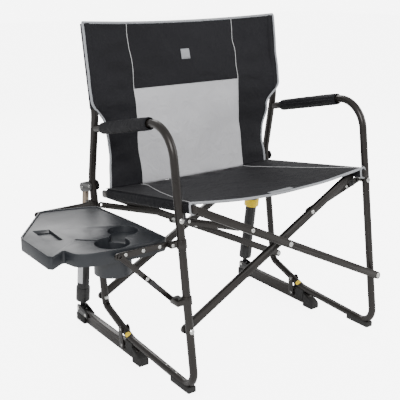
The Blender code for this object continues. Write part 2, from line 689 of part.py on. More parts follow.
# ---------------------------------------------------------------- side table
# x out from the side tube, y
TABLE_EDGE = (
    (-0.0170, -0.3440), (-0.0210, -0.2000), (-0.0340, -0.0090), (-0.0500, 0.0010),
    (-0.1830, 0.0400), (-0.1970, 0.0360), (-0.3170, -0.1260), (-0.3240, -0.1450),
    (-0.3240, -0.3020), (-0.3160, -0.3120), (-0.2820, -0.2890), (-0.2740, -0.2900),
    (-0.2660, -0.3240), (-0.2580, -0.3340), (-0.2280, -0.3480), (-0.1510, -0.3590),
    (-0.0810, -0.3640), (-0.0290, -0.3560))
TABLE_OUTLINE = [(dx - HALF, y) for dx, y in TABLE_EDGE]


def inset(outline, by):
    """The outline moved inwards by a wall's thickness."""
    pts = [Vector(p) for p in outline]
    out = []
    for k, p in enumerate(pts):
        a, b = (p - pts[k - 1]).normalized(), (pts[(k + 1) % len(pts)] - p).normalized()
        na, nb = Vector((-a.y, a.x)), Vector((-b.y, b.x))
        n = (na + nb).normalized()
        out.append(tuple(p + n * (by / max(0.5, n.dot(na)))))
    return out


def table_top():
    """Moulded tray: skirt around the edge, deep cup, shallow dish and finger recess."""
    ob = add("table_top", plate("table_top", TABLE_OUTLINE, "xy", TABLE_Z - TABLE_SKIRT, TABLE_Z),
             LEVEL, TRAY)
    under = plate("table_under", inset(TABLE_OUTLINE, TABLE_WALL), "xy",
                  TABLE_Z - TABLE_SKIRT - 0.01, TABLE_Z - TABLE_WALL)
    boolean(ob, add("table_under", under, LEVEL, tool=True))
    wells = (("cup", CUP_XY, CUP_R, CUP_DEPTH), ("dish", DISH_XY, DISH_R, DISH_DEPTH))
    pocket = [(dx - HALF, y) for dx, y in POCKET]
    high, over = TABLE_Z - 0.0012, TABLE_Z + 0.01
    for name, (x, y), r, depth in wells:
        join(ob, drum("table_" + name, (x, y, TABLE_Z - depth - WELL_WALL), (x, y, high - depth * 0.01),
                      r + WELL_WALL, WELL_SEGS))
    join(ob, plate("table_channel", slot_outline(CUP_XY, DISH_XY, CHANNEL_R + WELL_WALL), "xy",
                   TABLE_Z - DISH_DEPTH - WELL_WALL * 0.9, high - 0.0004))
    join(ob, plate("table_pocket", inset(pocket, -WELL_WALL), "xy", TABLE_Z - POCKET_DEPTH - WELL_WALL, high))
    for name, (x, y), r, depth in wells:
        cut_drum(ob, (x, y, TABLE_Z - depth), (x, y, TABLE_Z + 0.02), r, WELL_SEGS)
    groove = slot_outline((-HALF - 0.1640, -0.2700), (-HALF - 0.2100, -0.2270), GROOVE_R)
    for name, outline, depth in (
            ("table_way", slot_outline(CUP_XY, DISH_XY, CHANNEL_R), DISH_DEPTH - 0.0005),
            ("table_recess", pocket, POCKET_DEPTH), ("table_groove", groove, GROOVE_DEPTH)):
        boolean(ob, add(name, plate(name, outline, "xy", TABLE_Z - depth, over), LEVEL, tool=True))
    return at_joint(ob, (TABLE_HINGE[0], 0.0, TABLE_HINGE[1]))


FRONT_ARM_Y = (-0.3752, -0.3692)
REAR_ARM_Y = (0.0442, 0.0502)


def table_arm(name, ys, tip_x, boss_x, boss_end):
    """Steel bar that carries one edge of the table and turns on the leg's bracket."""
    hx, hz = TABLE_HINGE
    ob = add(name, plate(name, slot_outline((hx, hz), (tip_x, BRACE_TOP[1]), 0.0072, ARM_BAR_H / 2), "xz",
                         *ys), LEVEL, COAT)
    for k, (x, end) in enumerate(zip(boss_x, boss_end)):
        start_y = sum(ys) / 2
        join(ob, drum("%s_boss%d" % (name, k), (x, start_y, BRACE_TOP[1]), (x, end, BRACE_TOP[1]), 0.005, 12))
    mid = sum(ys) / 2
    cut_drum(ob, (hx, mid - 0.01, hz), (hx, mid + 0.01, hz), PIN_R + PIN_FIT)
    return at_joint(ob, (hx, mid, hz))


def leg_collar(name, leg_y, at_z, height):
    """A ring clamped around a leg, its centre at the given height above the ground."""
    z = (at_z + leg_y * math.sin(LEAN)) / math.cos(LEAN)
    a = leaning((-HALF, leg_y, z - height / 2))
    b = leaning((-HALF, leg_y, z + height / 2))
    axis = (b - a).normalized()
    ob = add(name, drum(name, a, b, TUBE_R + FIT + COLLAR_WALL, 20), LEVEL, COAT)
    return ob, a - axis * 0.04, b + axis * 0.04


def leg_bracket(name, leg_y, at, block_y, pin_y, drop=0.0):
    """Collar on a leg, a little below its lug, with the pin of a table piece."""
    x, z = at
    ob, a, b = leg_collar(name, leg_y, z - drop, 0.022)
    join(ob, box(name + "_lug", (x - 0.0070, block_y[0], z - drop - 0.0075),
                 (-HALF - 0.0075, block_y[1], z + 0.0075)))
    join(ob, drum(name + "_pin", (x, sum(block_y) / 2, z), (x, pin_y, z), PIN_R, 12))
    cut_drum(ob, a, b, TUBE_R + FIT, 20)
    return ob


def brace_points():
    top, low = Vector(BRACE_TOP), Vector(BRACE_LOW)
    return top, top.lerp(low, BRACE_SPLIT), low


def table_brace():
    """Two-piece folding brace under the table's front arm, and its lock."""
    top, mid, low = brace_points()
    layers = ((-0.3795, -0.3755), (-0.3838, -0.3798), (-0.3882, -0.3841))
    for name, a, b, ys, origin in (("brace_upper", top, mid, layers[0], top),
                                   ("brace_lower", low, mid, layers[1], low)):
        ob = add(name, plate(name, slot_outline(a, b, BRACE_W / 2), "xz", *ys), LEVEL, COAT)
        y = sum(ys) / 2
        for p in (a, b):
            cut_drum(ob, (p.x, y - 0.01, p.y), (p.x, y + 0.01, p.y), PIN_R + PIN_FIT)
        at_joint(ob, (origin.x, y, origin.y))
    back = (low - mid).normalized()
    a, b = mid + back * 0.016, mid + back * 0.036
    latch = add("brace_latch", plate("brace_latch", slot_outline(a, b, 0.0075, 0.0060), "xz", *layers[2]),
                LEVEL, NYLON)
    at_joint(latch, (a.x, sum(layers[2]) / 2, a.y))


def side_table():
    table_top()
    front_end = -0.3640 - FIT * 2
    table_arm("table_arm_front", FRONT_ARM_Y, BRACE_TOP[0] - 0.004, (-HALF - 0.0710, -HALF - 0.1210),
              (front_end, -0.3620))
    table_arm("table_arm_rear", REAR_ARM_Y, -HALF - 0.1950, (-HALF - 0.1830,), (0.0410,))
    leg_bracket("table_bracket_front", LEG_Y, TABLE_HINGE, (-0.3900, FRONT_ARM_Y[0] - FIT), FRONT_ARM_Y[1])
    leg_bracket("table_bracket_rear", REAR_Y, TABLE_HINGE, (REAR_ARM_Y[1] + FIT, 0.0680), REAR_ARM_Y[0],
                drop=0.028)
    leg_bracket("brace_bracket", LEG_Y, BRACE_LOW, (-0.4200, -0.3841), -0.3800)
    table_brace()


# ---------------------------------------------------------------- cloth
def seat_sling():
    """Cloth stretched between the two rails and down their outer sides."""
    rail_top = on_bar(1.0, RAIL_X).y + RAIL_H / 2
    outer = RAIL_X + RAIL_W / 2 + FIT
    low = rail_top + FIT
    inner = RAIL_X - RAIL_W / 2
    steps = 12
    top, bottom = [], []
    for k in range(steps + 1):
        x = -inner + 2 * inner * k / steps
        sag = SEAT_SAG * (1 - (x / inner) ** 2)
        bottom.append((x, low - sag))
        top.append((x, low - sag + SLING_T))
    hem = rail_top - 0.018
    left = [(-outer, low), (-outer, hem), (-outer - SLING_T, hem), (-outer - SLING_T, low + SLING_T)]
    outline = bottom + [(-x, z) for x, z in left] + top[::-1] + left[::-1]
    return add("seat_sling", plate("seat_sling", outline, "xz", SEAT_FRONT, SEAT_REAR), LEANING, CLOTH)


def back_sling():
    """Cloth panel stretched across the front of the two posts."""
    path = [p for p in rear_path(0.0) if BACK_Z0 < p.z]
    path.insert(0, Vector((0, REAR_Y - 0.0010, BACK_Z0)))
    front, rear = [], []
    for k, p in enumerate(path):
        ahead = (path[min(k + 1, len(path) - 1)] - path[max(k - 1, 0)]).normalized()
        n = Vector((0, -ahead.z, ahead.y))
        rear.append(p + n * (TUBE_R + FIT * 4))
        front.append(p + n * (TUBE_R + FIT * 4 + SLING_T))
    outline = [(p.y, p.z) for p in rear] + [(p.y, p.z) for p in reversed(front)]
    ob = add("back_sling", plate("back_sling", outline, "yz", -BACK_HALF, BACK_HALF), LEANING, CLOTH)
    for s in (-1.0, 1.0):
        edge = sorted((s * BACK_LOW_HALF, s * (BACK_HALF + 0.02)))
        cut_box(ob, (edge[0], -0.2, BACK_Z0 - 0.05), (edge[1], 0.1, BACK_STEP_Z))
    return ob


# ---------------------------------------------------------------- the chair
def centre_on_ground():
    """Move the whole chair so that the origin is under the middle of its outline."""
    deps = bpy.context.evaluated_depsgraph_get()
    xs, ys = [], []
    for ob in MAIN.objects:
        piece = ob.evaluated_get(deps)
        for vertex in piece.data.vertices:
            p = piece.matrix_world @ vertex.co
            xs.append(p.x)
            ys.append(p.y)
    shift = Vector((-(min(xs) + max(xs)) / 2, -(min(ys) + max(ys)) / 2, 0.0))
    for ob in list(MAIN.objects) + list(TOOLS.objects):
        ob.location += shift


def build():
    rear_tubes = {}
    for tag, s in SIDES:
        front_tube(tag, s)
        rear_tubes[tag] = rear_tube(tag, s)
        arm_pad(tag, s)
        foot(tag, s)
        leg_pins(tag, s)
    scissor_frames()
    rockers(rear_tubes)
    side_table()
    seat_sling()
    back_sling()
    centre_on_ground()


build()
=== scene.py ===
import math
import bpy
import bmesh
from mathutils import Matrix, Vector, noise


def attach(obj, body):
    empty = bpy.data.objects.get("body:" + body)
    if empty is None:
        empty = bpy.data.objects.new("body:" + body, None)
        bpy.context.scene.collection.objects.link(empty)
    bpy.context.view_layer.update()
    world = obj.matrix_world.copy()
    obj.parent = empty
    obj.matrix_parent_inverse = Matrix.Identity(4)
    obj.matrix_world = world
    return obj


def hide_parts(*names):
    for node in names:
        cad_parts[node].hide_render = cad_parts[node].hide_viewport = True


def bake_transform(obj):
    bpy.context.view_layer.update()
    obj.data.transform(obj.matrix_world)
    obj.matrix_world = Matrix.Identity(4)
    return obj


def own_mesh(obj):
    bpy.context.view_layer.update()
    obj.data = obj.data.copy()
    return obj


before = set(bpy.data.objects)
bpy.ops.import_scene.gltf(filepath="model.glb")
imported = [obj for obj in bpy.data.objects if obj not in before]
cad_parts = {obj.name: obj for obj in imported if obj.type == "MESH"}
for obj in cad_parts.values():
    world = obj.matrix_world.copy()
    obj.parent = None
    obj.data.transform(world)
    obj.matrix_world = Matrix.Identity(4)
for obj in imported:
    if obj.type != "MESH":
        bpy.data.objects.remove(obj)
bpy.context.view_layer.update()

# ------------------------------------------------------------------ side tubes
# Each side frame is two lengths of 22 mm steel tube, bent cold and butted in the bottom
# rail: one makes the arm and the front leg, the other the rear leg and the back post.
# Dark bronze powder coat, slightly pearly, rubbed a little thinner on the bends.
LEAN = math.radians(8.5)
MIDDLE = (0.149, 0.126976)


def leaning(x, y, z):
    """A point of the seat frame's own leaning layout."""
    c, s = math.cos(LEAN), math.sin(LEAN)
    return Vector((x + MIDDLE[0], y * c + z * s + MIDDLE[1], -y * s + z * c))


def nodes_of(tree):
    return tree.nodes, tree.links


def group(name, inputs, outputs):
    """An empty shader group with float inputs and the named outputs."""
    tree = bpy.data.node_groups.new(name, "ShaderNodeTree")
    for label, kind, value in inputs:
        socket = tree.interface.new_socket(label, in_out="INPUT", socket_type=kind)
        if value is not None:
            socket.default_value = value
    for label, kind in outputs:
        tree.interface.new_socket(label, in_out="OUTPUT", socket_type=kind)
    return tree, tree.nodes.new("NodeGroupInput"), tree.nodes.new("NodeGroupOutput")


def grain_group():
    """Fine unevenness of a sprayed or moulded surface: a mask and a normal."""
    tree, ins, outs = group("surface_grain",
                            (("Scale", "NodeSocketFloat", 900.0), ("Bump", "NodeSocketFloat", 0.05),
                             ("Cloud", "NodeSocketFloat", 14.0)),
                            (("Mask", "NodeSocketFloat"), ("Normal", "NodeSocketVector")))
    n, link = nodes_of(tree)
    coord = n.new("ShaderNodeTexCoord")
    fine, cloud = n.new("ShaderNodeTexNoise"), n.new("ShaderNodeTexNoise")
    fine.inputs["Detail"].default_value = 3.0
    cloud.inputs["Detail"].default_value = 5.0
    bump = n.new("ShaderNodeBump")
    bump.inputs["Distance"].default_value = 0.0004
    link.new(coord.outputs["Object"], fine.inputs["Vector"])
    link.new(coord.outputs["Object"], cloud.inputs["Vector"])
    link.new(ins.outputs["Scale"], fine.inputs["Scale"])
    link.new(ins.outputs["Cloud"], cloud.inputs["Scale"])
    link.new(ins.outputs["Bump"], bump.inputs["Strength"])
    link.new(fine.outputs["Fac"], bump.inputs["Height"])
    link.new(cloud.outputs["Fac"], outs.inputs["Mask"])
    link.new(bump.outputs["Normal"], outs.inputs["Normal"])
    return tree


GRAIN = grain_group()


def finish_material(name, dark, light, rough_low, rough_high, metallic=0.0, scale=900.0, bump=0.05,
                    cloud=14.0, coat=0.0):
    """A sprayed, moulded or plated finish whose colour and gloss drift a little."""
    mat = bpy.data.materials.new(name)
    mat.use_nodes = True
    n, link = nodes_of(mat.node_tree)
    bsdf = n["Principled BSDF"]
    grain = n.new("ShaderNodeGroup")
    grain.node_tree = GRAIN
    grain.inputs["Scale"].default_value = scale
    grain.inputs["Bump"].default_value = bump
    grain.inputs["Cloud"].default_value = cloud
    mix = n.new("ShaderNodeMix")
    mix.data_type = "RGBA"
    mix.inputs["A"].default_value = (*dark, 1)
    mix.inputs["B"].default_value = (*light, 1)
    gloss = n.new("ShaderNodeMapRange")
    gloss.inputs["From Min"].default_value = 0.3
    gloss.inputs["From Max"].default_value = 0.7
    gloss.inputs["To Min"].default_value = rough_low
    gloss.inputs["To Max"].default_value = rough_high
    link.new(grain.outputs["Mask"], mix.inputs["Factor"])
    link.new(grain.outputs["Mask"], gloss.inputs["Value"])
    link.new(mix.outputs["Result"], bsdf.inputs["Base Color"])
    link.new(gloss.outputs["Result"], bsdf.inputs["Roughness"])
    link.new(grain.outputs["Normal"], bsdf.inputs["Normal"])
    bsdf.inputs["Metallic"].default_value = metallic
    bsdf.inputs["Coat Weight"].default_value = coat
    bsdf.inputs["Coat Roughness"].default_value = 0.25
    return mat


BRONZE = finish_material("bronze_powder_coat", (0.014, 0.0125, 0.0115), (0.034, 0.029, 0.026),
                         0.24, 0.38, metallic=0.50, scale=1400.0, bump=0.10, coat=0.15)


def fillet(points, radii, steps=14):
    """A polyline with an arc at each inner corner."""
    pts = [Vector(p) for p in points]
    out = [pts[0]]
    for before, corner, after, radius in zip(pts, pts[1:], pts[2:], radii):
        a, b = (before - corner).normalized(), (after - corner).normalized()
        half = a.angle(b) / 2
        centre = corner + (a + b).normalized() * (radius / math.sin(half))
        start = corner + a * (radius / math.tan(half)) - centre
        end = corner + b * (radius / math.tan(half)) - centre
        turn = start.angle(end)
        for k in range(steps + 1):
            t = k / steps
            arm = start * math.sin((1 - t) * turn) + end * math.sin(t * turn)
            out.append(centre + arm / math.sin(turn))
    out.append(pts[-1])
    return out


def show(ob, mat, body, replaced=()):
    """Link a finished piece, give it its material and tie it to its CAD body."""
    bpy.context.scene.collection.objects.link(ob)
    ob.data.materials.clear()
    ob.data.materials.append(mat)
    if body:
        bpy.context.view_layer.update()
        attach(ob, body)
    if replaced:
        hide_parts(*replaced)
    return ob


def pipe(name, points, radius, mat, body, replaced=(), sides=28):
    """A round tube or cord along a line of points."""
    curve = bpy.data.curves.new(name, "CURVE")
    curve.dimensions = "3D"
    curve.bevel_depth = radius
    curve.bevel_resolution = (sides - 4) // 2
    curve.use_fill_caps = True
    spline = curve.splines.new("POLY")
    spline.points.add(len(points) - 1)
    for sp, p in zip(spline.points, points):
        sp.co = (*p, 1.0)
    holder = bpy.data.objects.new(name + "_line", curve)
    bpy.context.scene.collection.objects.link(holder)
    depsgraph = bpy.context.evaluated_depsgraph_get()
    mesh = bpy.data.meshes.new_from_object(holder.evaluated_get(depsgraph))
    bpy.data.objects.remove(holder, do_unlink=True)
    mesh.shade_smooth()
    mesh.set_sharp_from_angle(angle=math.radians(40))
    return show(bpy.data.objects.new(name, mesh), mat, body, replaced)


HALF, TUBE = 0.335, 0.011
SIDES = (("r", -1.0, "right"), ("l", 1.0, "left"))
# corners of the two tubes before bending, from the arm round to the top of the post
ARM_REAR, ARM_FRONT = Vector((0, -0.0560, 0.6550)), Vector((0, -0.4505, 0.6790))
RAIL_A, RAIL_B = Vector((0, -0.4505, -0.0245)), Vector((0, -0.1362, 0.0388))
LEG_LOW, LEG_HIGH = Vector((0, 0.0078, 0.1160)), Vector((0, 0.0078, 0.5050))
BACK_BEND, POST_TOP = Vector((0, -0.0560, 0.6980)), Vector((0, -0.0520, 0.9440))
SPLICE, SPLICE_GAP = 0.34, 0.001
front = fillet((ARM_REAR, ARM_FRONT, RAIL_A, RAIL_A.lerp(RAIL_B, SPLICE)), (0.090, 0.045))
rear = fillet((RAIL_A.lerp(RAIL_B, SPLICE + SPLICE_GAP), RAIL_B, LEG_LOW, LEG_HIGH, BACK_BEND, POST_TOP),
              (0.120, 0.030, 0.120, 0.120))
for tag, s, side in SIDES:
    for part, line in (("front_tube_", front), ("rear_tube_", rear)):
        pipe("shown_" + part + tag, [leaning(s * HALF, p.y, p.z) for p in line], TUBE, BRONZE,
             "frame_" + side, (part + tag,))

# ------------------------------------------------------------------ steel bars, rails and plates
# The crossing bars, seat rails, links and pressed plates are flat-oval tube and sheet in
# the same powder coat. Their edges are rolled, so each catches a thin line of light.
def coat_node(name, mat, bevel=0.0):
    """Finish a CAD piece as it stands: own material, smooth faces, eased edges."""
    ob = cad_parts[name]
    ob.data.materials.clear()
    ob.data.materials.append(mat)
    ob.data.shade_smooth()
    ob.data.set_sharp_from_angle(angle=math.radians(32))
    if bevel:
        weld = ob.modifiers.new("weld", "WELD")
        weld.merge_threshold = 0.00002
        mod = ob.modifiers.new("edge", "BEVEL")
        mod.width = bevel
        mod.segments = 2
        mod.limit_method = "ANGLE"
        mod.angle_limit = math.radians(50)


for name in ("bar_front_a", "bar_front_b", "bar_rear_a", "bar_rear_b", "rail_r", "rail_l",
             "link_front_r", "link_front_l", "link_rear_r", "link_rear_l",
             "base_bar_r", "base_bar_l", "table_arm_front", "table_arm_rear",
             "table_bracket_front", "table_bracket_rear", "brace_bracket", "brace_upper", "brace_lower",
             "yoke_r", "yoke_l"):
    coat_node(name, BRONZE, 0.0004)

# ------------------------------------------------------------------ rivets
# Every pivot is a bright zinc-plated steel rivet with a domed head, a little dulled.
ZINC = finish_material("zinc_plate", (0.50, 0.50, 0.48), (0.72, 0.72, 0.70), 0.20, 0.38, metallic=1.0,
                       scale=600.0, bump=0.04, cloud=180.0)


def level(x, y, z):
    """A point of the layout in which the chair stands upright on its bars."""
    return Vector((x + MIDDLE[0], y + MIDDLE[1], z))


def dome(name, at, direction, radius, body):
    """A domed rivet head standing on a surface."""
    mesh = bpy.data.meshes.new(name)
    bm = bmesh.new()
    bmesh.ops.create_uvsphere(bm, u_segments=24, v_segments=12, radius=radius)
    bmesh.ops.bisect_plane(bm, geom=bm.verts[:] + bm.edges[:] + bm.faces[:], plane_co=(0, 0, 0),
                           plane_no=(0, 0, 1), clear_inner=True)
    bmesh.ops.holes_fill(bm, edges=[e for e in bm.edges if e.is_boundary])
    bmesh.ops.scale(bm, vec=(1, 1, 0.5), verts=bm.verts)
    bm.to_mesh(mesh)
    bm.free()
    turn = Vector((0, 0, 1)).rotation_difference(Vector(direction)).to_matrix().to_4x4()
    mesh.transform(Matrix.Translation(at) @ turn)
    mesh.shade_smooth()
    mesh.set_sharp_from_angle(angle=math.radians(60))
    return show(bpy.data.objects.new(name, mesh), ZINC, body)


for tag in ("r", "l"):
    for name in ("pin_low_front_", "pin_low_rear_", "pin_link_"):
        coat_node(name + tag, ZINC)
for name in ("pin_centre_front", "pin_centre_rear"):
    coat_node(name, ZINC)
FORWARD = leaning(0, -1, 0) - leaning(0, 0, 0)
UPWARD = leaning(0, 0, 1) - leaning(0, 0, 0)
STRUT_LOW, STRUT_TOP = (0.186, 0.045), (0.125, 0.465)
YOKE_RIVETS, POST_RIVETS = ((-0.088, 0.027), (-0.084, 0.077)), ((0.078, 0.479), STRUT_TOP)
HEEL_RIVETS = (STRUT_LOW, (0.140, 0.036))
PLATE_FACE, HEEL_FACE = 0.0140, 0.0150      # outer faces of the plates, from the tube's centre
SPLICE_RIVETS, SPLICE_LIFT = (0.27, 0.42), 0.0108
CROSSING_Z, LOW_PIVOT_Z, LINK_PIVOT_X = 0.305, 0.140, 0.1285
LINK_PIVOT_Z = CROSSING_Z + (CROSSING_Z - LOW_PIVOT_Z) / HALF * LINK_PIVOT_X
for tag, s, side in SIDES:
    x = s * HALF
    for k, (y, z) in enumerate(YOKE_RIVETS + POST_RIVETS):
        for face in (-1, 1):
            dome("rivet_side_%s_%d_%d" % (tag, k, face), level(x + face * PLATE_FACE, y, z), (face, 0, 0),
                 0.0048, "frame_" + side)
    for k, along in enumerate(SPLICE_RIVETS):
        p = RAIL_A.lerp(RAIL_B, along)
        dome("rivet_splice_%s_%d" % (tag, k), leaning(x, p.y, p.z + SPLICE_LIFT), UPWARD, 0.0034,
             "frame_" + side)
    for k, (y, z) in enumerate(HEEL_RIVETS):
        for face in (-1, 1):
            dome("rivet_heel_%s_%d_%d" % (tag, k, face), level(x + face * HEEL_FACE, y, z), (face, 0, 0),
                 0.0060, "rocker_" + side)
    bar_y, bar_body = (-0.4815, "scissor_a") if tag == "r" else (-0.4365, "scissor_b")
    dome("rivet_link_" + tag, leaning(s * LINK_PIVOT_X, bar_y, LINK_PIVOT_Z), FORWARD, 0.0062, bar_body)
    dome("rivet_rest_" + tag, leaning(s * 0.2860, -0.4195, 0.4155), FORWARD, 0.0050, "link_front_" + side)
for name, at, radius, body in (("table_0", (-0.390, -0.3752, 0.4320), 0.0052, "table"),
                               ("table_1", (-0.438, -0.3752, 0.4320), 0.0052, "table"),
                               ("table_2", (-0.488, -0.3752, 0.4320), 0.0052, "table"),
                               ("brace_mid", (-0.433, -0.3838, 0.3585), 0.0052, "brace_lower"),
                               ("brace_low", (-0.361, -0.3838, 0.2860), 0.0052, "brace_lower"),
                               ("hinge_front", (-0.360, -0.3901, 0.4330), 0.0050, "frame_right")):
    dome("rivet_" + name, level(*at), (0, -1, 0), radius, body)

# ------------------------------------------------------------------ rubber and nylon pieces
# Caps on the rocker bars, shoes under the front bends and stop blocks are matt black
# rubber, dusty on top; the rail rests and the brace lock are moulded nylon.
RUBBER = finish_material("black_rubber", (0.008, 0.008, 0.008), (0.022, 0.021, 0.020), 0.60, 0.85,
                         scale=500.0, bump=0.15, cloud=40.0)
NYLON = finish_material("black_nylon", (0.010, 0.010, 0.011), (0.018, 0.018, 0.019), 0.38, 0.55,
                        scale=800.0, bump=0.08, cloud=60.0)
for tag in ("r", "l"):
    for name in ("foot_", "base_toe_", "base_heel_", "bumper_"):
        coat_node(name + tag, RUBBER, 0.0010)
    coat_node("rail_rest_" + tag, NYLON, 0.0006)
coat_node("brace_latch", NYLON, 0.0006)

# ------------------------------------------------------------------ struts
# A gas-spring style strut stands behind each rear leg: satin black cylinder with a heavier
# lower collar, a bright yellow ring at its mouth and a bronze rod that slides in it.
CYLINDER = finish_material("strut_black", (0.012, 0.012, 0.013), (0.024, 0.023, 0.023), 0.30, 0.45,
                           metallic=0.2, scale=1200.0, bump=0.05, coat=0.2)
ROD = finish_material("rod_bronze", (0.23, 0.18, 0.14), (0.34, 0.28, 0.22), 0.25, 0.36, metallic=0.75,
                      scale=700.0, bump=0.03, cloud=30.0)
YELLOW = finish_material("yellow_plastic", (0.90, 0.60, 0.0), (0.97, 0.70, 0.0), 0.32, 0.45,
                         scale=800.0, bump=0.04)
STRUT_LINE = Vector((0, STRUT_TOP[0] - STRUT_LOW[0], STRUT_TOP[1] - STRUT_LOW[1])).normalized()
STRUT_TURN = Vector((0, 0, 1)).rotation_difference(STRUT_LINE).to_matrix().to_4x4()
# distance up the strut from its lower pin, and radius there
COLLAR = [(0.0295, 0.0076), (0.0295, 0.0200), (0.0320, 0.0222), (0.0740, 0.0222), (0.0765, 0.0203)]
BARREL = [(0.0780, 0.0192), (0.2600, 0.0192), (0.2626, 0.0180), (0.2626, 0.0106)]
MOUTH_RING = [(0.2375, 0.0193), (0.2375, 0.0245), (0.2395, 0.0259), (0.2625, 0.0259), (0.2645, 0.0240),
              (0.2645, 0.0193)]


def turned(name, base, profile, mat, body, replaced=()):
    """A round piece about the strut's line from (distance, radius) pairs."""
    mesh = bpy.data.meshes.new(name)
    bm = bmesh.new()
    verts = [bm.verts.new((r, 0, t)) for t, r in profile]
    edges = [bm.edges.new(pair) for pair in zip(verts, verts[1:])]
    bmesh.ops.spin(bm, geom=verts + edges, cent=(0, 0, 0), axis=(0, 0, 1), angle=math.tau, steps=40,
                   use_duplicate=False)
    bmesh.ops.remove_doubles(bm, verts=bm.verts, dist=1e-6)
    bmesh.ops.recalc_face_normals(bm, faces=bm.faces)
    bm.to_mesh(mesh)
    bm.free()
    mesh.transform(Matrix.Translation(base) @ STRUT_TURN)
    mesh.shade_smooth()
    mesh.set_sharp_from_angle(angle=math.radians(38))
    return show(bpy.data.objects.new(name, mesh), mat, body, replaced)


for tag, s, side in SIDES:
    base = level(s * HALF, *STRUT_LOW)
    turned("shown_cylinder_" + tag, base, COLLAR + BARREL, CYLINDER, "strut_cylinder_" + side)
    turned("shown_ring_" + tag, base, MOUTH_RING, YELLOW, "strut_cylinder_" + side,
           ("strut_ring_" + tag,))
    coat_node("strut_cyl_" + tag, CYLINDER)
    coat_node("post_bracket_" + tag, CYLINDER, 0.0004)
    coat_node("heel_bracket_" + tag, CYLINDER, 0.0004)
    coat_node("strut_rod_" + tag, ROD, 0.0004)
    # a yellow plug shows in the inner flank of the bottom rail, above the rocker pivot
    cap = bpy.data.meshes.new("rail_dot_" + tag)
    bm = bmesh.new()
    bmesh.ops.create_uvsphere(bm, u_segments=32, v_segments=16, radius=1.0)
    bmesh.ops.scale(bm, vec=(0.0094, 0.0120, 0.0094), verts=bm.verts)
    bm.to_mesh(cap)
    bm.free()
    cap.shade_smooth()
    cap.transform(Matrix.Translation(level(s * HALF - 0.0026, -0.1130, 0.0669)))
    show(bpy.data.objects.new("rail_dot_" + tag, cap), YELLOW, "frame_" + side)

# a plain paper label is stuck round the outer flank of the right strut
PAPER = finish_material("plain_label", (0.55, 0.56, 0.58), (0.78, 0.78, 0.79), 0.45, 0.6, scale=300.0,
                        bump=0.02, cloud=260.0)
LABEL_R = 0.0194
mesh = bpy.data.meshes.new("strut_label")
bm = bmesh.new()
rows = [[bm.verts.new((LABEL_R * math.cos(math.radians(a)), LABEL_R * math.sin(math.radians(a)), t))
         for a in range(150, 236, 5)] for t in (0.096, 0.125, 0.155, 0.178)]
for low_row, high_row in zip(rows, rows[1:]):
    for k in range(len(low_row) - 1):
        bm.faces.new((low_row[k], low_row[k + 1], high_row[k + 1], high_row[k]))
bm.to_mesh(mesh)
bm.free()
mesh.transform(Matrix.Translation(level(-HALF, *STRUT_LOW)) @ STRUT_TURN)
mesh.shade_smooth()
show(bpy.data.objects.new("strut_label", mesh), PAPER, "strut_cylinder_right")

# ------------------------------------------------------------------ side table
# One injection-moulded tray with a raised rounded lip, a deep cup well, a shallow dish
# and a finger recess; dark slate plastic with a fine spark texture and a low sheen.
TRAY = finish_material("tray_plastic", (0.011, 0.013, 0.016), (0.020, 0.023, 0.028), 0.34, 0.48,
                       scale=1100.0, bump=0.16, cloud=9.0)
coat_node("table_top", TRAY, 0.0012)
LIP = ((-0.3520, -0.3440), (-0.3560, -0.2000), (-0.3690, -0.0090), (-0.3850, 0.0010), (-0.5180, 0.0400),
       (-0.5320, 0.0360), (-0.6520, -0.1260), (-0.6590, -0.1450), (-0.6590, -0.3020), (-0.6510, -0.3120),
       (-0.6170, -0.2890), (-0.6090, -0.2900), (-0.6010, -0.3240), (-0.5930, -0.3340),
       (-0.5630, -0.3480), (-0.4860, -0.3590), (-0.4160, -0.3640), (-0.3640, -0.3560), (-0.3520, -0.3440))
LIP_R, LIP_Z = 0.0030, 0.4402
MID_X, MID_Y = -0.50, -0.17                 # inside the tray: the lip stands its own radius in
lip = [level(x + math.copysign(LIP_R, MID_X - x), y + math.copysign(LIP_R, MID_Y - y), LIP_Z)
       for x, y in LIP]
pipe("table_lip", lip, LIP_R, TRAY, "table", sides=16)

